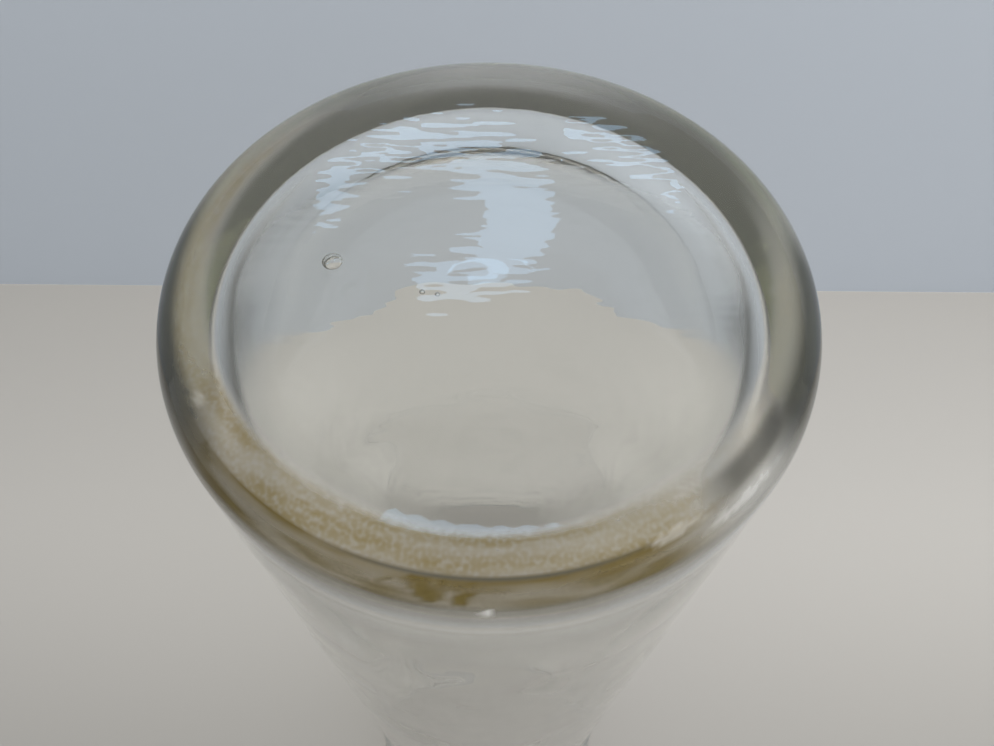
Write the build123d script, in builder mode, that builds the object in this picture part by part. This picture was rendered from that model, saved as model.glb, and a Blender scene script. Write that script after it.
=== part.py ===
"""Gas jar: one straight-sided piece of blown glass, standing on its ground mouth with its base up.

Millimetres, +Z up. The origin is the centre of the mouth's ground face, and the axis is Z.
"""
import os

from build123d import *

# Body: the wall thickens from the mouth to the base, as it does in blown glass
body_diameter = 102
overall_height = 381
mouth_wall_thickness = 4
base_wall_thickness = 6.5

# Mouth flange: ground flat so that a cover disc seals on it, fire-polished at the back
flange_width = 6
flange_thickness = 5
flange_edge_radius = 2.5
ground_arris = 0.5

# Closed base, outside: a round heel, a worn bearing ring and a shallow dished push-up inside the ring
heel_radius = 7.8
bearing_width = 2.8
push_up_depth = 0.4
push_up_level_share = 0.26

# Closed base, inside: the cavity ends in a dome, so the glass is thinnest in the middle
base_thickness = 6
dome_rise = 8
inside_corner_radius = 7

# Radii from the axis
body_radius = body_diameter / 2
mouth_radius = body_radius - mouth_wall_thickness
cavity_radius = body_radius - base_wall_thickness
flange_radius = body_radius + flange_width
bearing_outer = body_radius - heel_radius
bearing_inner = bearing_outer - bearing_width
push_up_inner = bearing_inner * push_up_level_share
push_up_slope_width = bearing_inner - push_up_inner

# Levels above the ground face
neck_sweep = flange_width - flange_edge_radius
wall_start = flange_thickness + neck_sweep
heel_start = overall_height - heel_radius
push_up_level = overall_height - push_up_depth
dome_top = push_up_level - base_thickness
dome_edge = dome_top - dome_rise

# Arcs that rise or fall by a depth over a width and are level at the end nearest the axis
push_up_radius = (push_up_slope_width**2 + push_up_depth**2) / (2 * push_up_depth)
dome_radius = (cavity_radius**2 + dome_rise**2) / (2 * dome_rise)

with BuildPart() as jar:
    with BuildSketch(Plane.XZ):
        with BuildLine():
            # Mouth: ground face with eased edges, rounded rim and the sweep up into the wall
            inner_arris = Line((mouth_radius, ground_arris), (mouth_radius + ground_arris, 0))
            ground_face = Line(inner_arris @ 1, (flange_radius - ground_arris, 0))
            outer_arris = Line(ground_face @ 1, (flange_radius, ground_arris))
            rim = Line(outer_arris @ 1, (flange_radius, flange_thickness - flange_edge_radius))
            rim_round = RadiusArc(
                rim @ 1, (flange_radius - flange_edge_radius, flange_thickness), -flange_edge_radius
            )
            neck = RadiusArc(rim_round @ 1, (body_radius, wall_start), neck_sweep)
            # Outside: straight wall, heel, bearing ring and push-up
            wall = Line(neck @ 1, (body_radius, heel_start))
            heel = RadiusArc(wall @ 1, (bearing_outer, overall_height), -heel_radius)
            bearing = Line(heel @ 1, (bearing_inner, overall_height))
            push_up = RadiusArc(bearing @ 1, (push_up_inner, push_up_level), push_up_radius)
            push_up_middle = Line(push_up @ 1, (0, push_up_level))
            # Inside: from the axis out along the domed end and down the cavity's wall
            on_axis = Line(push_up_middle @ 1, (0, dome_top))
            dome = RadiusArc(on_axis @ 1, (cavity_radius, dome_edge), dome_radius)
            Line(dome @ 1, inner_arris @ 0)
        make_face()
        dome_corner = vertices().sort_by_distance(dome @ 1)[0]
        fillet(dome_corner, inside_corner_radius)
    revolve(axis=Axis.Z)
jar.part.label = "jar"

os.makedirs("parts", exist_ok=True)
export_step(jar.part, "parts/jar.step")
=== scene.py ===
"""Looks of a blown glass gas jar that stands on its ground mouth, seen from close above its base.

Metres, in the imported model's own frame: +Z is the jar's axis, and the mouth's ground face is at zero.
Bearings are in degrees from +X towards +Y, and the camera looks from -Y.
"""
from __future__ import annotations

import logging
import math
from dataclasses import dataclass, field
from enum import Enum

import bmesh
import bpy
from mathutils import Matrix, Vector, noise


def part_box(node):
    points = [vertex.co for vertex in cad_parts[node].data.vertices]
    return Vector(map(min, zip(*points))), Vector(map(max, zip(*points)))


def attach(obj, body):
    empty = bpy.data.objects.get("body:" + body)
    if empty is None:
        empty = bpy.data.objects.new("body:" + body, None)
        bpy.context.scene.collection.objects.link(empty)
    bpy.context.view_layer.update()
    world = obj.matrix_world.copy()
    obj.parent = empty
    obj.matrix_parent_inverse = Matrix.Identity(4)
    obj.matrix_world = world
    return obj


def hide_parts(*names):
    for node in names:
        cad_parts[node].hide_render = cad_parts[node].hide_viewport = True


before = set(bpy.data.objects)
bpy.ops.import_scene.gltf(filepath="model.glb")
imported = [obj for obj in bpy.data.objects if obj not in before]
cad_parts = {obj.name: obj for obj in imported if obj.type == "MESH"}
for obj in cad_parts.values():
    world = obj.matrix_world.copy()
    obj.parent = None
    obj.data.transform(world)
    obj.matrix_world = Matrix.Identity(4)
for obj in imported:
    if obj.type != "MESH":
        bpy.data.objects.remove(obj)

MM = 0.001
NODE = "jar"
BODY = "root"
GLASS_BOUNCES = 32
DIFFUSE_BOUNCES = 2
NOISE_GAP = 2.0
NOISE_LAYERS = 3

log = logging.getLogger("gas_jar")

Point = tuple[float, float]
Colour = tuple[float, float, float, float]
Socket = bpy.types.NodeSocket


class Skin(Enum):
    """Which face of the base's glass is worked."""

    OUTSIDE = "outside"
    INSIDE = "inside"


def run(start: Point, end: Point, steps: int) -> list[Point]:
    """Points along a straight stretch of the outline, without its start.

    Args:
        start: radius and level where the stretch begins.
        end: radius and level where it ends.
        steps: how many points it gets.

    Returns:
        The points in order, the last one at the end.
    """
    shares = [step / steps for step in range(1, steps + 1)]
    return [(start[0] + (end[0] - start[0]) * t, start[1] + (end[1] - start[1]) * t) for t in shares]


def arc(centre: Point, radius: float, first: float, last: float, steps: int) -> list[Point]:
    """Points along a round stretch of the outline, without its start.

    Args:
        centre: radius and level of the arc's centre.
        radius: the arc's radius.
        first: the angle where it begins, in degrees from the outward direction.
        last: the angle where it ends.
        steps: how many points it gets.

    Returns:
        The points in order, the last one at the end.
    """
    angles = [math.radians(first + (last - first) * step / steps) for step in range(1, steps + 1)]
    return [(centre[0] + radius * math.cos(a), centre[1] + radius * math.sin(a)) for a in angles]


@dataclass(frozen=True)
class SectionSteps:
    """How many points each stretch of the half section gets."""

    middle: int = 10
    push_up: int = 28
    bearing: int = 5
    heel: int = 24
    wall: int = 44
    neck: int = 8
    rim_round: int = 8
    rim: int = 2
    arris: int = 1
    ground: int = 6
    corner: int = 16
    dome: int = 36


@dataclass
class JarForm:
    """The jar's sizes, and the half section that they give."""

    radius: float
    height: float
    mouth_wall: float = 4 * MM
    base_wall: float = 6.5 * MM
    flange_width: float = 6 * MM
    flange_thickness: float = 5 * MM
    flange_edge: float = 2.5 * MM
    ground_arris: float = 0.5 * MM
    heel: float = 7.8 * MM
    bearing_width: float = 2.8 * MM
    push_up_depth: float = 0.4 * MM
    push_up_level_share: float = 0.26
    base_thickness: float = 6 * MM
    dome_rise: float = 8 * MM
    inside_corner: float = 7 * MM
    steps: SectionSteps = field(default_factory=SectionSteps)

    @property
    def mouth_radius(self) -> float:
        """Radius of the cavity at the mouth."""
        return self.radius - self.mouth_wall

    @property
    def cavity_radius(self) -> float:
        """Radius of the cavity at the base."""
        return self.radius - self.base_wall

    @property
    def bearing_outer(self) -> float:
        """Radius where the bearing ring meets the heel."""
        return self.radius - self.heel

    @property
    def bearing_inner(self) -> float:
        """Radius where the bearing ring meets the push-up's slope."""
        return self.bearing_outer - self.bearing_width

    @property
    def push_up_inner(self) -> float:
        """Radius of the level middle of the base's outside."""
        return self.bearing_inner * self.push_up_level_share

    @property
    def push_up_level(self) -> float:
        """Level of the middle of the base's outside."""
        return self.height - self.push_up_depth

    @property
    def dome_top(self) -> float:
        """Level of the middle of the cavity's domed end."""
        return self.push_up_level - self.base_thickness

    @property
    def mid_base(self) -> float:
        """A level between the base's two faces, everywhere inside the heel."""
        return self.dome_top + self.base_thickness / 2

    def half_section(self) -> list[Point]:
        """The outline from the outside of the base, over the heel and the mouth, to the cavity's domed end.

        Returns:
            Radius and level of each point. The first and the last lie on the axis.
        """
        slope_width = self.bearing_inner - self.push_up_inner
        depth = self.push_up_depth
        curve = (slope_width**2 + depth**2) / (2 * depth)
        slope = math.degrees(math.asin(slope_width / curve))
        heel_start = self.height - self.heel
        neck = self.flange_width - self.flange_edge
        neck_start = self.flange_thickness + neck
        rim_radius = self.radius + self.flange_width
        rim_centre = rim_radius - self.flange_edge
        dome = (self.cavity_radius**2 + self.dome_rise**2) / (2 * self.dome_rise)
        dome_centre = self.dome_top - dome
        corner_radius = self.cavity_radius - self.inside_corner
        corner_turn = math.degrees(math.acos(corner_radius / (dome - self.inside_corner)))
        corner_start = dome_centre + (dome - self.inside_corner) * math.sin(math.radians(corner_turn))

        steps = self.steps
        points: list[Point] = [(0.0, self.push_up_level)]
        points += run(points[-1], (self.push_up_inner, self.push_up_level), steps.middle)
        curve_centre = (self.push_up_inner, self.push_up_level + curve)
        points += arc(curve_centre, curve, -90, slope - 90, steps.push_up)
        points += run(points[-1], (self.bearing_outer, self.height), steps.bearing)
        points += arc((self.bearing_outer, heel_start), self.heel, 90, 0, steps.heel)
        points += run(points[-1], (self.radius, neck_start), steps.wall)
        points += arc((rim_centre, neck_start), neck, 180, 270, steps.neck)
        rim_level = self.flange_thickness - self.flange_edge
        points += arc((rim_centre, rim_level), self.flange_edge, 90, 0, steps.rim_round)
        points += run(points[-1], (rim_radius, self.ground_arris), steps.rim)
        points += run(points[-1], (rim_radius - self.ground_arris, 0.0), steps.arris)
        points += run(points[-1], (self.mouth_radius + self.ground_arris, 0.0), steps.ground)
        points += run(points[-1], (self.mouth_radius, self.ground_arris), steps.arris)
        points += run(points[-1], (self.cavity_radius, corner_start), steps.wall)
        points += arc((corner_radius, corner_start), self.inside_corner, 0, corner_turn, steps.corner)
        points += arc((0.0, dome_centre), dome, corner_turn, 90, steps.dome)
        return points


@dataclass(frozen=True)
class Press:
    """One place, or one arc of places, that the maker's tool pushed in along the jar's axis."""

    skin: Skin
    bearing: float
    radius_share: float
    reach: float
    rise: float
    span: float = 0.0


@dataclass(frozen=True)
class Blister:
    """A bubble shut in the base's glass."""

    bearing: float
    radius_share: float
    depth: float
    across: float
    thick: float


# Two hollows inside bend the view of the table's edge, and a trough outside mirrors a pale crescent
PRESSES = (
    Press(Skin.INSIDE, -145, 0.70, 24 * MM, 2.3 * MM),
    Press(Skin.INSIDE, -32, 0.70, 24 * MM, 2.3 * MM),
    Press(Skin.OUTSIDE, -88, 0.76, 7.5 * MM, -0.85 * MM, span=40),
)

# One flat bubble on the left and a pair of seeds near the middle
BLISTERS = (
    Blister(176, 0.475, 3.0 * MM, 3.2 * MM, 1.1 * MM),
    Blister(-158, 0.215, 2.4 * MM, 0.9 * MM, 0.7 * MM),
    Blister(-151, 0.177, 2.8 * MM, 0.8 * MM, 0.6 * MM),
)


class Graph:
    """Short ways to lay shader nodes in one tree."""

    def __init__(self, tree: bpy.types.NodeTree) -> None:
        """Keeps the node tree that nodes are laid in."""
        self.tree = tree

    def node(self, kind: str, **settings: object) -> bpy.types.Node:
        """Adds a node.

        Args:
            kind: the node's type.
            settings: values of the node's own settings.

        Returns:
            The node.
        """
        node = self.tree.nodes.new(kind)
        for name, value in settings.items():
            setattr(node, name, value)
        return node

    def feed(self, socket: Socket, value: object) -> None:
        """Links a socket to an input, or sets the input to a plain value.

        Args:
            socket: the input.
            value: an output socket or a plain value.
        """
        if isinstance(value, bpy.types.NodeSocket):
            self.tree.links.new(value, socket)
        else:
            socket.default_value = value

    def math(self, operation: str, *values: object) -> Socket:
        """Works out one number.

        Args:
            operation: the Math node's operation.
            values: its inputs.

        Returns:
            The result.
        """
        node = self.node("ShaderNodeMath", operation=operation)
        for socket, value in zip(node.inputs, values):
            self.feed(socket, value)
        return node.outputs["Value"]

    def product(self, *values: object) -> Socket:
        """Multiplies two or more numbers.

        Args:
            values: the factors.

        Returns:
            The product.
        """
        result = values[0]
        for value in values[1:]:
            result = self.math("MULTIPLY", result, value)
        return result

    def ramp(self, value: object, none: float, full: float) -> Socket:
        """Eases a number from 0 to 1.

        Args:
            value: the number.
            none: where the result is 0.
            full: where it is 1.

        Returns:
            The eased share.
        """
        node = self.node("ShaderNodeMapRange", interpolation_type="SMOOTHSTEP")
        self.feed(node.inputs["Value"], value)
        node.inputs["From Min"].default_value = none
        node.inputs["From Max"].default_value = full
        return node.outputs["Result"]

    def noise(self, vector: object, scale: float) -> Socket:
        """Lays a noise pattern.

        Args:
            vector: the place that is read.
            scale: how fine the pattern is.

        Returns:
            The pattern, near 0.5 on average.
        """
        node = self.node("ShaderNodeTexNoise")
        self.feed(node.inputs["Vector"], vector)
        node.inputs["Scale"].default_value = scale
        node.inputs["Detail"].default_value = 0.0
        return node.outputs["Fac"]

    def blend(self, share: object, below: object, above: object) -> Socket:
        """Mixes two colours.

        Args:
            share: how much of the second colour shows.
            below: the first colour.
            above: the second colour.

        Returns:
            The mixed colour.
        """
        node = self.node("ShaderNodeMix", data_type="RGBA")
        self.feed(node.inputs[0], share)
        self.feed(node.inputs[6], below)
        self.feed(node.inputs[7], above)
        return node.outputs[2]


class Coat(Enum):
    """What lies on the glass, with the channel of the painted attribute that holds it; the soot channel
    also holds painted shade, and the chalk channel a painted highlight.
    """

    BROWN = 0
    CREAM = 1
    SOOT = 2
    CHALK = 3


@dataclass(frozen=True)
class Mark:
    """One stain, smear, fleck or painted highlight on the outside; its place is a bearing, a radius share
    and a depth.
    """

    coat: Coat
    bearing: float
    radius_share: float
    depth: float
    length: float
    width: float
    strength: float


# Brown stains, dark flecks with one pale one among them, pale streaks on the right, a pale smear on the
# front of the heel and a painted highlight on the front of the body
MARKS = (
    Mark(Coat.BROWN, -98, 0.964, 2.8 * MM, 14 * MM, 5.0 * MM, 1.0),
    Mark(Coat.BROWN, -140.6, 0.952, 2.1 * MM, 5 * MM, 4.0 * MM, 1.0),
    Mark(Coat.BROWN, -74, 0.968, 3.1 * MM, 12 * MM, 3.2 * MM, 0.8),
    Mark(Coat.BROWN, -122, 0.95, 2.0 * MM, 14 * MM, 2.4 * MM, 0.45),
    Mark(Coat.SOOT, -153.4, 0.950, 2.0 * MM, 4.5 * MM, 1.3 * MM, 0.9),
    Mark(Coat.SOOT, -151.6, 0.918, 0.9 * MM, 2.0 * MM, 1.6 * MM, 0.9),
    Mark(Coat.SOOT, -147.9, 0.926, 1.1 * MM, 1.8 * MM, 1.6 * MM, 0.9),
    Mark(Coat.CHALK, -149.2, 0.898, 0.45 * MM, 2.4 * MM, 1.6 * MM, 0.15),
    Mark(Coat.CHALK, -60, 0.932, 1.3 * MM, 12 * MM, 1.2 * MM, 0.20),
    Mark(Coat.CHALK, -47, 0.962, 2.6 * MM, 15 * MM, 1.5 * MM, 0.25),
    Mark(Coat.CHALK, -90.3, 0.992, 5.35 * MM, 2.0 * MM, 1.4 * MM, 0.5),
    # Painted highlight low on the body's near wall
    Mark(Coat.CHALK, -117, 1.0, 39 * MM, 9 * MM, 5.0 * MM, 0.45),
)


def ease(value: float, none: float, full: float) -> float:
    """Eases a number from 0 to 1.

    Args:
        value: the number.
        none: where the result is 0.
        full: where it is 1.

    Returns:
        The eased share.
    """
    share = min(1.0, max(0.0, (value - none) / (full - none)))
    return share * share * (3.0 - 2.0 * share)


@dataclass(frozen=True)
class Sector:
    """A sector of bearings with soft ends: full near its middle, and none further from it, in degrees."""

    middle: float
    none: float
    full: float

    def share(self, bearing: float) -> float:
        """How far a bearing belongs to the sector, from 0 to 1."""
        off = abs((bearing - self.middle + 180.0) % 360.0 - 180.0)
        return ease(off, self.none, self.full)


@dataclass(frozen=True)
class Band:
    """A ring between two radius shares with soft edges; without a high one it runs to the outside."""

    low: float
    high: float = 2.0
    fade: float = 0.05

    def share(self, radius_share: float) -> float:
        """How far a radius share belongs to the ring, from 0 to 1."""
        inner = ease(radius_share, self.low - self.fade, self.low)
        return inner * ease(radius_share, self.high + self.fade, self.high)


@dataclass(frozen=True)
class Zone:
    """Where a sector crosses a band, with the strength of what lies there."""

    strength: float
    sector: Sector
    band: Band

    def cover(self, bearing: float, radius_share: float) -> float:
        """How strongly the zone covers a point at a bearing and a radius share, from 0 to 1."""
        return self.strength * self.sector.share(bearing) * self.band.share(radius_share)


NEAR = Sector(-108, 75, 42)
LEFT = Sector(186, 70, 30)
RIGHT = Sector(-28, 55, 15)
FAR = Sector(88, 48, 5)

CORNER_RING = Band(0.76, fade=0.10)
DUSTY_INSIDE = Band(0.85, fade=0.15)
DUSTY_OUTSIDE = Band(0.92, fade=0.12)
FAR_RING = Band(0.80, fade=0.06)
WORN_RING = Band(0.845, 0.925, 0.045)
THICK_RESIDUE = Band(0.932, 0.986, 0.012)
THIN_RESIDUE = Band(0.85, 0.94, 0.04)
OUTER_RESIDUE = Band(0.985, fade=0.01)

# Two dark lines on the near heel, then painted shade: the heel's dark sides and the tail of the right one
DARK_ZONES = (
    Zone(0.80, Sector(-90, 32, 12), Band(0.9265, 0.9315, 0.004)),
    Zone(0.48, Sector(-90, 75, 40), Band(0.987, 0.994, 0.005)),
    Zone(0.98, Sector(190, 42, 14), Band(0.935, fade=0.055)),
    Zone(0.99, Sector(-14, 34, 14), Band(0.925, fade=0.075)),
    Zone(0.90, Sector(-40, 17, 6), Band(0.895, 0.925, 0.035)),
)


@dataclass
class Painter:
    """Paints dust, wear, residue and marks on the jar's vertices, with painted shade on the heel's sides
    and the ground face, and a painted highlight on the body.
    """

    form: JarForm
    wall_film: float = 0.03
    far_film: float = 0.11
    base_film: float = 0.006
    ground_film: float = 0.45
    # Painted shade on the mouth's ground face, where it sits on the table
    ground_shade: float = 0.5
    ground_polish: float = 0.45
    corner_polish: float = 0.24
    corner_low: float = 46 * MM
    corner_high: float = 26 * MM
    heel_margin: float = 1.5 * MM
    heel_start_share: float = 0.7
    skin_margin: float = 0.2 * MM
    ground_margin: float = 0.1 * MM
    chill_none_share: float = 0.80
    chill_full_share: float = 0.62
    left_brown: float = 0.45
    right_brown: float = 0.30
    thin_brown: float = 0.55
    outer_brown: float = 0.75
    left_cream: float = 0.85
    right_cream: float = 0.55
    streak_turns: float = 2.4
    streak_rings: float = 24.0
    streak_falloff: float = 0.8
    brown_floor: float = 0.86
    brown_streak: Point = (0.25, 0.65)
    cream_floor: float = 0.65
    cream_streak: Point = (0.2, 0.8)
    ragged_scale: float = 420.0
    ragged_share: float = 0.55
    ragged_falloff: float = 0.9
    mark_edge: Point = (1.15, 0.55)

    def paint(self, mesh: bpy.types.Mesh, skin_count: int) -> None:
        """Paints the whole mesh.

        Args:
            mesh: the jar's mesh, which gets the attributes coat, film, polish and chill.
            skin_count: how many of its vertices are the jar's skin. The bubbles' vertices follow them and
                stay clean.
        """
        coats: list[float] = []
        films: list[float] = []
        polishes: list[float] = []
        chills: list[float] = []
        for vertex in mesh.vertices:
            if vertex.index >= skin_count:
                coats.extend((0.0, 0.0, 0.0, 0.0))
                films.append(0.0)
                polishes.append(0.0)
                chills.append(0.0)
                continue
            coat, film, polish = self.surface(vertex.co)
            coats.extend(coat)
            films.append(film)
            polishes.append(polish)
            chills.append(self.chill(vertex.co))
        mesh.attributes.new("coat", "FLOAT_COLOR", "POINT").data.foreach_set("color", coats)
        mesh.attributes.new("film", "FLOAT", "POINT").data.foreach_set("value", films)
        mesh.attributes.new("polish", "FLOAT", "POINT").data.foreach_set("value", polishes)
        mesh.attributes.new("chill", "FLOAT", "POINT").data.foreach_set("value", chills)

    def chill(self, place: Vector) -> float:
        """How strongly the cold tool left fine ridges on one point.

        Args:
            place: the point.

        Returns:
            1 on the middle of the base's outside, and 0 elsewhere.
        """
        if place.z < self.form.mid_base:
            return 0.0
        share = place.xy.length / self.form.radius
        return ease(share, self.chill_none_share, self.chill_full_share)

    def surface(self, place: Vector) -> tuple[list[float], float, float]:
        """What lies on one point of the glass.

        Args:
            place: the point.

        Returns:
            The four coats, the dust's share and the roughness.
        """
        share = place.xy.length / self.form.radius
        depth = self.form.height - place.z
        in_wall = place.xy.length > self.form.mouth_radius + self.skin_margin
        outside = place.z > self.form.mid_base or in_wall
        extra_film = self.wall_film - self.base_film
        coat = [0.0, 0.0, 0.0, 0.0]
        if place.z < self.ground_margin:
            # The ground face gets painted shade, darker where it sits on the table
            coat[Coat.SOOT.value] = self.ground_shade
            return coat, self.ground_film, self.ground_polish
        if not outside:
            corner = ease(depth, self.corner_low, self.corner_high) * CORNER_RING.share(share)
            film = self.base_film + extra_film * DUSTY_INSIDE.share(share)
            return coat, film, self.corner_polish * corner
        film = self.base_film + extra_film * DUSTY_OUTSIDE.share(share)
        if depth < self.form.heel + self.heel_margin and share > self.heel_start_share:
            bearing = math.degrees(math.atan2(place.y, place.x))
            film += self.far_film * FAR.share(bearing) * FAR_RING.share(share)
            self.residue_wear_and_shade(bearing, share, coat)
        for mark in MARKS:
            cover = self.cover(place, mark)
            channel = mark.coat.value
            coat[channel] = max(coat[channel], cover)
        return coat, film, 0.0

    def residue_wear_and_shade(self, bearing: float, share: float, coat: list[float]) -> None:
        """Lays the brown residue, the worn cream ring, the dark lines on the near heel and the painted
        shade on the heel's sides.

        Args:
            bearing: the point's bearing.
            share: its radius share.
            coat: the coats, which are changed.
        """
        turn = math.radians(bearing)
        spot = Vector((
            self.streak_turns * math.cos(turn),
            self.streak_turns * math.sin(turn),
            self.streak_rings * share,
        ))
        streak = 0.5 + 0.5 * noise.fractal(spot, self.streak_falloff, NOISE_GAP, NOISE_LAYERS)
        near = NEAR.share(bearing)
        left = LEFT.share(bearing)
        right = RIGHT.share(bearing)
        thick = max(
            THICK_RESIDUE.share(share),
            self.thin_brown * THIN_RESIDUE.share(share),
            self.outer_brown * OUTER_RESIDUE.share(share),
        )
        brown = max(near, self.left_brown * left, self.right_brown * right) * thick
        cream = max(near, self.left_cream * left, self.right_cream * right) * WORN_RING.share(share)
        brown *= self.brown_floor + (1.0 - self.brown_floor) * ease(streak, *self.brown_streak)
        cream *= self.cream_floor + (1.0 - self.cream_floor) * ease(streak, *self.cream_streak)
        coat[Coat.BROWN.value] = brown
        coat[Coat.CREAM.value] = cream
        # The soot channel here carries the near heel's dark lines and the painted shade on the heel's sides
        coat[Coat.SOOT.value] = max(zone.cover(bearing, share) for zone in DARK_ZONES)

    def cover(self, place: Vector, mark: Mark) -> float:
        """How strongly one mark covers a point.

        Args:
            place: the point.
            mark: the mark.

        Returns:
            Its share, with a ragged edge.
        """
        turn = math.radians(mark.bearing)
        reach = mark.radius_share * self.form.radius
        centre = Vector((reach * math.cos(turn), reach * math.sin(turn), self.form.height - mark.depth))
        gap = place - centre
        if gap.length > mark.length:
            return 0.0
        along = -gap.x * math.sin(turn) + gap.y * math.cos(turn)
        across = math.sqrt(max(0.0, gap.length_squared - along * along))
        size = math.hypot(2 * along / mark.length, 2 * across / mark.width)
        wander = noise.fractal(place * self.ragged_scale, self.ragged_falloff, NOISE_GAP, NOISE_LAYERS)
        ragged = size + self.ragged_share * wander
        return mark.strength * ease(ragged, *self.mark_edge)


@dataclass(frozen=True)
class GlassFinish:
    """Old clear glass: its tint, how it bends light, and the look of what is painted on it, which includes
    painted shade and a painted highlight.
    """

    ior: float = 1.52
    tint: Colour = (0.80, 0.81, 0.68, 1.0)
    tint_density: float = 9.0
    shadow: Colour = (1.0, 1.0, 0.995, 1.0)
    clean: Colour = (1.0, 1.0, 0.99, 1.0)
    brown: Colour = (0.11, 0.076, 0.014, 1.0)
    cream: Colour = (0.34, 0.27, 0.13, 1.0)
    # Dark flecks, and the painted shade on the heel's sides and the ground face
    soot_and_shade: Colour = (0.06, 0.06, 0.05, 1.0)
    # Pale flecks and streaks, and the painted highlight on the body
    chalk_and_highlight: Colour = (0.95, 0.95, 0.93, 1.0)
    chill_height: float = 0.03 * MM
    brown_film: float = 0.50
    cream_film: float = 0.26
    soot_and_shade_film: float = 0.16
    chalk_and_highlight_film: float = 0.60
    worn_roughness: float = 0.12
    grain_scale: float = 1500.0
    grain_none: float = -0.8
    grain_full: float = 0.8
    crack_scale: float = 240.0
    crack_none: float = 0.018
    crack_full: float = 0.004
    crack_brown: float = 0.5
    chill_scale: float = 700.0
    chill_stretch: tuple[float, float, float] = (0.3, 1.0, 1.0)

    def material(self) -> bpy.types.Material:
        """Builds the glass.

        Returns:
            The finished material.
        """
        material = bpy.data.materials.new("blown_glass")
        material.use_nodes = True
        material.node_tree.nodes.clear()
        graph = Graph(material.node_tree)
        place = graph.node("ShaderNodeTexCoord").outputs["Object"]
        painted = graph.node("ShaderNodeAttribute", attribute_name="coat")
        parts = graph.node("ShaderNodeSeparateColor")
        graph.feed(parts.inputs["Color"], painted.outputs["Color"])
        film = graph.node("ShaderNodeAttribute", attribute_name="film").outputs["Fac"]
        polish = graph.node("ShaderNodeAttribute", attribute_name="polish").outputs["Fac"]
        grain = graph.ramp(graph.noise(place, self.grain_scale), self.grain_none, self.grain_full)
        hair = graph.math("ABSOLUTE", graph.math("SUBTRACT", graph.noise(place, self.crack_scale), 0.5))
        cracks = graph.product(parts.outputs["Green"], graph.ramp(hair, self.crack_none, self.crack_full))
        brown = graph.math("MAXIMUM", parts.outputs["Red"], graph.product(cracks, self.crack_brown))
        cream = graph.product(parts.outputs["Green"], grain)
        soot_and_shade = parts.outputs["Blue"]
        chalk_and_highlight = painted.outputs["Alpha"]
        colour = graph.blend(cream, self.clean, self.cream)
        colour = graph.blend(brown, colour, self.brown)
        colour = graph.blend(soot_and_shade, colour, self.soot_and_shade)
        colour = graph.blend(chalk_and_highlight, colour, self.chalk_and_highlight)
        for coat, share in (
            (brown, self.brown_film),
            (cream, self.cream_film),
            (soot_and_shade, self.soot_and_shade_film),
            (chalk_and_highlight, self.chalk_and_highlight_film),
        ):
            film = graph.math("MULTIPLY_ADD", coat, share, film)
        glass = graph.node("ShaderNodeBsdfPrincipled")
        glass.inputs["IOR"].default_value = self.ior
        graph.feed(glass.inputs["Base Color"], colour)
        roughness = graph.math("MULTIPLY_ADD", cream, self.worn_roughness, polish)
        graph.feed(glass.inputs["Roughness"], roughness)
        graph.feed(glass.inputs["Transmission Weight"], graph.math("SUBTRACT", 1.0, film))
        stretch = graph.node("ShaderNodeVectorMath", operation="MULTIPLY")
        graph.feed(stretch.inputs[0], place)
        stretch.inputs[1].default_value = self.chill_stretch
        chill = graph.node("ShaderNodeBump")
        chill.inputs["Distance"].default_value = self.chill_height
        pressed = graph.node("ShaderNodeAttribute", attribute_name="chill").outputs["Fac"]
        graph.feed(chill.inputs["Strength"], pressed)
        graph.feed(chill.inputs["Height"], graph.noise(stretch.outputs["Vector"], self.chill_scale))
        graph.feed(glass.inputs["Normal"], chill.outputs["Normal"])
        body = graph.node("ShaderNodeVolumeAbsorption")
        body.inputs["Color"].default_value = self.tint
        body.inputs["Density"].default_value = self.tint_density
        clear = graph.node("ShaderNodeBsdfTransparent")
        clear.inputs["Color"].default_value = self.shadow
        path = graph.node("ShaderNodeLightPath")
        pick = graph.node("ShaderNodeMixShader")
        output = graph.node("ShaderNodeOutputMaterial")
        graph.feed(pick.inputs["Fac"], path.outputs["Is Shadow Ray"])
        graph.feed(pick.inputs[1], glass.outputs["BSDF"])
        graph.feed(pick.inputs[2], clear.outputs["BSDF"])
        graph.feed(output.inputs["Surface"], pick.outputs["Shader"])
        graph.feed(output.inputs["Volume"], body.outputs["Volume"])
        return material


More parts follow.
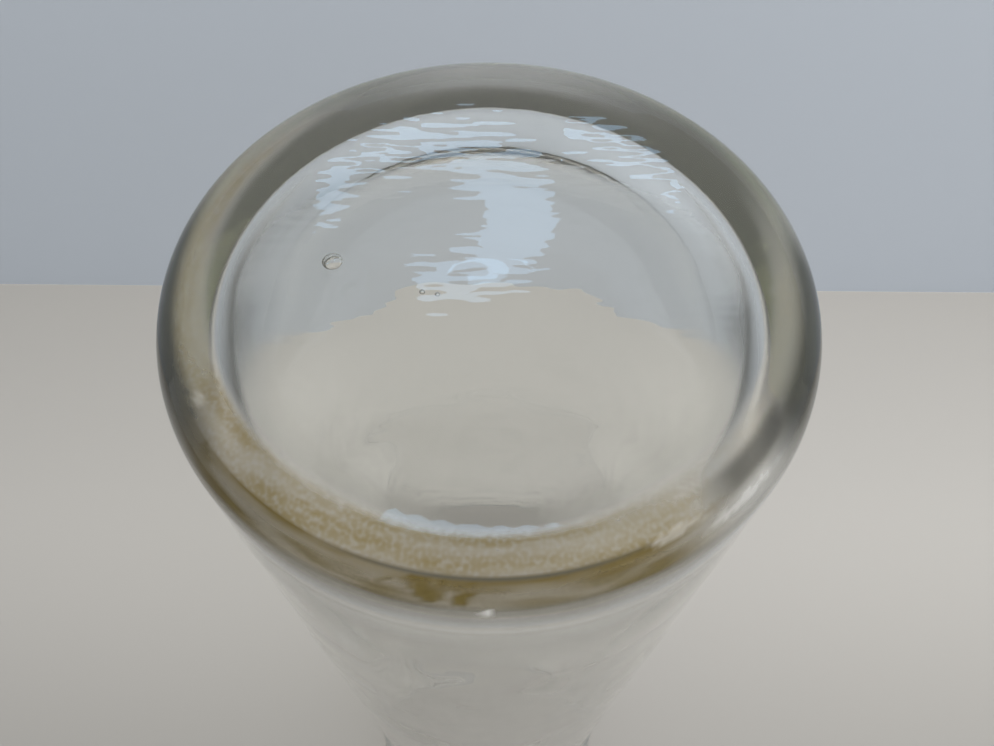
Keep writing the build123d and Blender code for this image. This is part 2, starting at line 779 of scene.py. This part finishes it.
@dataclass(frozen=True)
class MattFinish:
    """A plain matt paint for the stage, which can carry a painted shadow that darkens its near side."""

    name: str
    colour: Colour
    near_shadow_share: float = 1.0
    near_from: float = -0.09
    near_to: float = 0.13
    one_sided: bool = False

    def material(self) -> bpy.types.Material:
        """Builds the paint.

        Returns:
            The finished material. A one-sided paint shows nothing from behind.
        """
        material = bpy.data.materials.new(self.name)
        material.use_nodes = True
        graph = Graph(material.node_tree)
        nodes = material.node_tree.nodes
        paint = nodes["Principled BSDF"]
        paint.inputs["Base Color"].default_value = self.colour
        paint.inputs["Roughness"].default_value = 1.0
        paint.inputs["Specular IOR Level"].default_value = 0.0
        # Painted shadow: the colour darkens towards the near side
        if self.near_shadow_share < 1.0:
            place = graph.node("ShaderNodeSeparateXYZ")
            graph.feed(place.inputs["Vector"], graph.node("ShaderNodeTexCoord").outputs["Object"])
            near = tuple(self.near_shadow_share * part for part in self.colour[:3]) + (1.0,)
            away = graph.ramp(place.outputs["Y"], self.near_from, self.near_to)
            graph.feed(paint.inputs["Base Color"], graph.blend(away, near, self.colour))
        if self.one_sided:
            pick = graph.node("ShaderNodeMixShader")
            graph.feed(pick.inputs["Fac"], graph.node("ShaderNodeNewGeometry").outputs["Backfacing"])
            graph.feed(pick.inputs[1], paint.outputs["BSDF"])
            graph.feed(pick.inputs[2], graph.node("ShaderNodeBsdfTransparent").outputs["BSDF"])
            graph.feed(nodes["Material Output"].inputs["Surface"], pick.outputs["Shader"])
        return material


@dataclass
class Jar:
    """The jar's glass: one blown piece with its unevenness."""

    form: JarForm
    finish: GlassFinish = field(default_factory=GlassFinish)
    segments: int = 320
    weld: float = 0.01 * MM
    skin_margin: float = 0.1 * MM
    smooth_angle: float = 40.0
    wave_size: float = 22 * MM
    wave_height: float = 0.5 * MM
    wave_fade: float = 12 * MM
    bubble_segments: int = 24
    bubble_rings: int = 14

    def build(self) -> bpy.types.Object:
        """Models the jar and dresses it.

        Returns:
            The finished piece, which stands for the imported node.
        """
        piece = self.spin_section()
        self.work_base(piece)
        self.wave_wall(piece)
        skin_count = len(piece.data.vertices)
        self.trap_bubbles(piece)
        bpy.ops.object.shade_smooth_by_angle(angle=math.radians(self.smooth_angle))
        Painter(self.form).paint(piece.data, skin_count)
        piece.data.materials.append(self.finish.material())
        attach(piece, BODY)
        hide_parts(NODE)
        return piece

    def spin_section(self) -> bpy.types.Object:
        """Draws the half section point by point and spins it round the axis.

        Returns:
            The closed round body.
        """
        section = self.form.half_section()
        bpy.ops.object.select_all(action="DESELECT")
        bpy.ops.mesh.primitive_circle_add(
            vertices=3, radius=MM, location=(section[0][0], 0.0, section[0][1])
        )
        piece = bpy.context.object
        piece.name = "jar_glass"
        bpy.ops.object.transform_apply(location=True, rotation=True, scale=True)
        bpy.ops.object.mode_set(mode="EDIT")
        bpy.ops.mesh.select_mode(type="VERT")
        bpy.ops.mesh.select_all(action="SELECT")
        bpy.ops.mesh.merge(type="CENTER")
        for here, there in zip(section, section[1:]):
            step = (there[0] - here[0], 0.0, there[1] - here[1])
            bpy.ops.mesh.extrude_region_move(TRANSFORM_OT_translate={"value": step})
        bpy.ops.mesh.select_all(action="SELECT")
        bpy.ops.mesh.spin(
            steps=self.segments, angle=math.tau, center=(0.0, 0.0, 0.0), axis=(0.0, 0.0, 1.0)
        )
        bpy.ops.mesh.select_all(action="SELECT")
        bpy.ops.mesh.remove_doubles(threshold=self.weld)
        bpy.ops.mesh.normals_make_consistent(inside=False)
        bpy.ops.object.mode_set(mode="OBJECT")
        return piece

    def work_base(self, piece: bpy.types.Object) -> None:
        """Presses each face of the base, with the other face hidden.

        Args:
            piece: the round body, which is changed.
        """
        bpy.ops.object.mode_set(mode="EDIT")
        mesh = bmesh.from_edit_mesh(piece.data)
        inside_start = self.form.dome_top - self.form.dome_rise - self.form.inside_corner
        for skin in Skin:
            bpy.ops.mesh.reveal(select=False)
            for vertex in mesh.verts:
                if skin is Skin.OUTSIDE:
                    shown = vertex.co.z > self.form.mid_base
                else:
                    in_cavity = vertex.co.xy.length < self.form.cavity_radius + self.skin_margin
                    shown = in_cavity and inside_start < vertex.co.z < self.form.mid_base
                vertex.select_set(shown)
            mesh.select_flush_mode()
            bpy.ops.mesh.hide(unselected=True)
            for press in PRESSES:
                if press.skin is skin:
                    self.press(mesh, press)
        bpy.ops.mesh.reveal(select=False)
        bpy.ops.object.mode_set(mode="OBJECT")

    def press(self, mesh: bmesh.types.BMesh, press: Press) -> None:
        """Pushes one place of the face that shows along the jar's axis.

        Args:
            mesh: the jar's mesh in edit mode.
            press: the place, how far it is pushed and how far round it the glass follows.
        """
        bpy.ops.mesh.select_all(action="DESELECT")
        radius = press.radius_share * self.form.radius
        first = press.bearing - press.span / 2
        steps = max(1, round(math.radians(press.span) * radius / MM))
        bearings = [math.radians(first + press.span * step / steps) for step in range(steps + 1)]
        shown = [vertex for vertex in mesh.verts if not vertex.hide]
        for bearing in bearings:
            place = Vector((math.cos(bearing), math.sin(bearing))) * radius
            min(shown, key=lambda vertex: (vertex.co.xy - place).length_squared).select_set(True)
        mesh.select_flush_mode()
        bpy.ops.transform.translate(
            value=(0.0, 0.0, press.rise), use_proportional_edit=True,
            proportional_edit_falloff="SMOOTH", proportional_size=press.reach
        )

    def wave_wall(self, piece: bpy.types.Object) -> None:
        """Lets the wall's thickness wander a little, as it does in glass blown by mouth.

        Args:
            piece: the round body, which is changed.
        """
        wall = piece.vertex_groups.new(name="wall")
        fade = self.wave_fade
        top = self.form.height - self.form.heel - self.form.inside_corner
        for vertex in piece.data.vertices:
            level = vertex.co.z
            weight = min(1.0, max(0.0, (top - level) / fade)) * min(1.0, max(0.0, (level - fade) / fade))
            wall.add([vertex.index], weight, "REPLACE")
        flow = bpy.data.textures.new("flow", "CLOUDS")
        flow.noise_scale = self.wave_size
        flow.noise_depth = 1
        wave = piece.modifiers.new("wave", "DISPLACE")
        wave.texture = flow
        wave.texture_coords = "LOCAL"
        wave.vertex_group = wall.name
        wave.strength = self.wave_height
        wave.mid_level = 0.5
        bpy.ops.object.select_all(action="DESELECT")
        piece.select_set(True)
        bpy.context.view_layer.objects.active = piece
        bpy.ops.object.modifier_apply(modifier=wave.name)
        piece.vertex_groups.remove(piece.vertex_groups["wall"])

    def trap_bubbles(self, piece: bpy.types.Object) -> None:
        """Shuts the bubbles in the base's glass as turned-out shells of the same mesh.

        Args:
            piece: the jar, which takes the shells in.
        """
        shells = []
        for blister in BLISTERS:
            bpy.ops.object.select_all(action="DESELECT")
            turn = math.radians(blister.bearing)
            place = Vector((math.cos(turn), math.sin(turn))) * blister.radius_share * self.form.radius
            bpy.ops.mesh.primitive_uv_sphere_add(
                segments=self.bubble_segments, ring_count=self.bubble_rings, radius=blister.across / 2,
                location=(place.x, place.y, self.form.height - blister.depth)
            )
            shell = bpy.context.object
            bpy.ops.transform.resize(value=(1.0, 1.0, blister.thick / blister.across))
            bpy.ops.object.transform_apply(location=True, rotation=True, scale=True)
            bpy.ops.object.mode_set(mode="EDIT")
            bpy.ops.mesh.select_all(action="SELECT")
            bpy.ops.mesh.flip_normals()
            bpy.ops.object.mode_set(mode="OBJECT")
            shells.append(shell)
        bpy.ops.object.select_all(action="DESELECT")
        for shell in shells:
            shell.select_set(True)
        piece.select_set(True)
        bpy.context.view_layer.objects.active = piece
        bpy.ops.object.join()


@dataclass
class Stage:
    """The pale table that the jar stands on, with a painted shadow on its near part, and the pale card
    behind it.
    """

    card_back: float = 0.285
    card_height: float = 0.60
    half_width: float = 1.5
    table_front: float = 0.6525
    table_back: float = 0.5975
    seat_gap: float = 0.2 * MM
    # The table's near part carries a painted shadow
    table: MattFinish = MattFinish("cream_table", (0.60, 0.57, 0.525, 1.0), near_shadow_share=0.64)
    card: MattFinish = MattFinish("blue_grey_card", (0.60, 0.65, 0.72, 1.0), one_sided=True)

    def build(self) -> list[bpy.types.Object]:
        """Lays the table and stands the card.

        Returns:
            Both.
        """
        bpy.ops.object.select_all(action="DESELECT")
        bpy.ops.mesh.primitive_plane_add(size=2.0)
        table = bpy.context.object
        table.name = "table"
        table_depth = self.table_front + self.table_back
        bpy.ops.transform.resize(value=(self.half_width, table_depth / 2, 1.0))
        bpy.ops.transform.translate(value=(0.0, self.table_back - table_depth / 2, -self.seat_gap))
        bpy.ops.object.transform_apply(location=True, rotation=True, scale=True)
        table.data.materials.append(self.table.material())
        bpy.ops.object.select_all(action="DESELECT")
        bpy.ops.mesh.primitive_plane_add(size=2.0, rotation=(math.radians(90), 0.0, 0.0))
        card = bpy.context.object
        card.name = "card"
        bpy.ops.transform.resize(value=(self.half_width, 1.0, self.card_height / 2))
        bpy.ops.transform.translate(value=(0.0, self.card_back, self.card_height / 2))
        bpy.ops.object.transform_apply(location=True, rotation=True, scale=True)
        card.data.materials.append(self.card.material())
        return [table, card]


@dataclass(frozen=True)
class SkyGap:
    """A bent gap of sky: the strip between two ellipses, as the base mirrors it."""

    name: str
    outer_middle: Point
    outer_reach: Point
    inner_middle: Point
    inner_reach: Point
    start: float
    end: float
    rungs: int = 28
    radiance: float = 2.9
    colour: Colour = (0.68, 1.0, 1.36, 1.0)

    def spots(self) -> list[Point]:
        """Where the strip's corners lie.

        Returns:
            The outer and the inner end of each rung, to the right of the middle and above it.
        """
        ellipses = ((self.outer_middle, self.outer_reach), (self.inner_middle, self.inner_reach))
        spots: list[Point] = []
        for rung in range(self.rungs + 1):
            turn = math.radians(self.start + (self.end - self.start) * rung / self.rungs)
            for middle, reach in ellipses:
                spots.append((middle[0] + reach[0] * math.cos(turn), middle[1] + reach[1] * math.sin(turn)))
        return spots

    def material(self) -> bpy.types.Material:
        """Builds the glow.

        Returns:
            The finished material.
        """
        material = bpy.data.materials.new("sky")
        material.use_nodes = True
        material.node_tree.nodes.clear()
        graph = Graph(material.node_tree)
        glow = graph.node("ShaderNodeEmission")
        glow.inputs["Color"].default_value = self.colour
        glow.inputs["Strength"].default_value = self.radiance
        graph.feed(graph.node("ShaderNodeOutputMaterial").inputs["Surface"], glow.outputs["Emission"])
        return material

    def hang(self, place: Vector, target: Vector) -> bpy.types.Object:
        """Hangs the gap where only the glass mirrors it.

        Args:
            place: where its middle hangs.
            target: the point that it faces.

        Returns:
            The gap.
        """
        bpy.ops.object.select_all(action="DESELECT")
        bpy.ops.mesh.primitive_grid_add(x_subdivisions=1, y_subdivisions=self.rungs)
        sky = bpy.context.object
        sky.name = self.name
        turn = (target - place).to_track_quat("-Z", "Y")
        for vertex, (right, up) in zip(sky.data.vertices, self.spots()):
            vertex.co = place + turn @ Vector((-right, up, 0.0))
        sky.data.materials.append(self.material())
        sky.visible_camera = False
        sky.visible_diffuse = False
        sky.visible_shadow = False
        return sky


# The hooked gap is the bright patch on the base, and the narrow one is the sliver at its far right
SKY_GAPS = (
    SkyGap(
        "hooked_gap",
        outer_middle=(-10 * MM, -5 * MM),
        outer_reach=(175 * MM, 110 * MM),
        inner_middle=(-48 * MM, -15 * MM),
        inner_reach=(105 * MM, 72 * MM),
        start=-178.0,
        end=101.0,
    ),
    SkyGap(
        "narrow_gap",
        outer_middle=(120 * MM, 10 * MM),
        outer_reach=(215 * MM, 130 * MM),
        inner_middle=(118 * MM, 12 * MM),
        inner_reach=(207 * MM, 114 * MM),
        start=-75.0,
        end=-8.0,
    ),
)


@dataclass(frozen=True)
class Lamp:
    """One rectangular lamp that lights the scene and isn't seen in the glass."""

    name: str
    place: tuple[float, float, float]
    target: tuple[float, float, float]
    size: Point
    radiance: float
    colour: tuple[float, float, float]

    def hang(self) -> bpy.types.Object:
        """Hangs the lamp.

        Returns:
            The lamp.
        """
        data = bpy.data.lights.new(self.name, "AREA")
        data.shape = "RECTANGLE"
        data.size, data.size_y = self.size
        data.energy = self.radiance * math.pi * self.size[0] * self.size[1]
        data.color = self.colour
        lamp = bpy.data.objects.new(self.name, data)
        lamp.location = self.place
        lamp.rotation_mode = "QUATERNION"
        lamp.rotation_quaternion = (Vector(self.target) - Vector(self.place)).to_track_quat("-Z", "Y")
        lamp.visible_glossy = False
        lamp.visible_transmission = False
        bpy.context.scene.collection.objects.link(lamp)
        return lamp


LAMPS = (
    Lamp("window", (0.75, 0.60, 1.35), (0.0, 0.15, 0.1), (1.0, 1.0), 3.2, (0.97, 1.0, 1.03)),
    Lamp("fill", (0.3, -0.5, 1.15), (0.05, 0.28, 0.2), (0.8, 0.8), 4.5, (1.0, 1.0, 1.0)),
)


@dataclass
class Lighting:
    """Soft room light, two lamps, and the gaps of sky behind and above the jar."""

    base_level: float
    room: Colour = (0.42, 0.43, 0.44, 1.0)
    dim: Colour = (0.25, 0.255, 0.24, 1.0)
    dim_ahead: Point = (-0.05, -0.55)
    dim_low: Point = (0.45, 0.05)
    sky_distance: float = 1.2
    sky_azimuth: float = -4.6
    sky_elevation: float = 48.55

    def build(self) -> None:
        """Sets the room's glow, and hangs the gaps of sky and the lamps."""
        world = bpy.data.worlds.new("room")
        world.use_nodes = True
        graph = Graph(world.node_tree)
        facing = graph.node("ShaderNodeSeparateXYZ")
        graph.feed(facing.inputs["Vector"], graph.node("ShaderNodeTexCoord").outputs["Generated"])
        ahead = graph.ramp(facing.outputs["Y"], *self.dim_ahead)
        low = graph.ramp(facing.outputs["Z"], *self.dim_low)
        shade = graph.blend(graph.product(ahead, low), self.room, self.dim)
        graph.feed(world.node_tree.nodes["Background"].inputs["Color"], shade)
        bpy.context.scene.world = world
        target = Vector((0.0, 0.0, self.base_level))
        azimuth = math.radians(self.sky_azimuth)
        elevation = math.radians(self.sky_elevation)
        level = math.cos(elevation)
        reach = Vector((math.sin(azimuth) * level, math.cos(azimuth) * level, math.sin(elevation)))
        for gap in SKY_GAPS:
            gap.hang(target + reach * self.sky_distance, target)
        for lamp in LAMPS:
            lamp.hang()


@dataclass
class PhotoCamera:
    """The camera close above the base; distances are shares of the jar's radius."""

    form: JarForm
    image_width: int = 994
    focal_pixels: float = 820.0
    pitch: float = 58.66
    yaw: float = 0.94
    roll: float = -1.25
    front_share: float = 1.5247
    above_share: float = 1.8891
    sensor_width: float = 36.0
    clip_start: float = 0.005

    def build(self) -> bpy.types.Object:
        """Makes the camera and gives it to the scene.

        Returns:
            The camera.
        """
        pitch, yaw, roll = (math.radians(angle) for angle in (self.pitch, self.yaw, self.roll))
        ahead = Vector((math.sin(yaw) * math.cos(pitch), math.cos(yaw) * math.cos(pitch), -math.sin(pitch)))
        right = Vector((math.cos(yaw), -math.sin(yaw), 0.0))
        down = ahead.cross(right)
        side = math.cos(roll) * right + math.sin(roll) * down
        foot = -math.sin(roll) * right + math.cos(roll) * down
        turn = Matrix((side, -foot, -ahead)).transposed()
        data = bpy.data.cameras.new("camera")
        data.sensor_width = self.sensor_width
        data.lens = self.sensor_width * self.focal_pixels / self.image_width
        data.clip_start = self.clip_start
        camera = bpy.data.objects.new("camera", data)
        camera.matrix_world = turn.to_4x4()
        camera.location = (
            0.0,
            -self.front_share * self.form.radius,
            self.form.height + self.above_share * self.form.radius,
        )
        bpy.context.scene.collection.objects.link(camera)
        bpy.context.scene.camera = camera
        return camera


def main() -> None:
    """Builds the jar, its stage, its light and its camera, in that order."""
    logging.basicConfig(level=logging.INFO, format="%(name)s: %(message)s")
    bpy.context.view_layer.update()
    _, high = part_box(NODE)
    form = JarForm(radius=high.x - JarForm.flange_width, height=high.z)
    piece = Jar(form).build()
    log.info("%s: %d faces", piece.name, len(piece.data.polygons))
    for prop in Stage().build():
        log.info("%s: stage", prop.name)
    Lighting(form.height).build()
    PhotoCamera(form).build()
    scene = bpy.context.scene
    scene.view_settings.view_transform = "Standard"
    scene.cycles.transmission_bounces = GLASS_BOUNCES
    scene.cycles.glossy_bounces = GLASS_BOUNCES
    scene.cycles.max_bounces = GLASS_BOUNCES
    scene.cycles.diffuse_bounces = DIFFUSE_BOUNCES
    scene.cycles.caustics_refractive = False
    scene.cycles.caustics_reflective = False


if __name__ == "__main__":
    main()
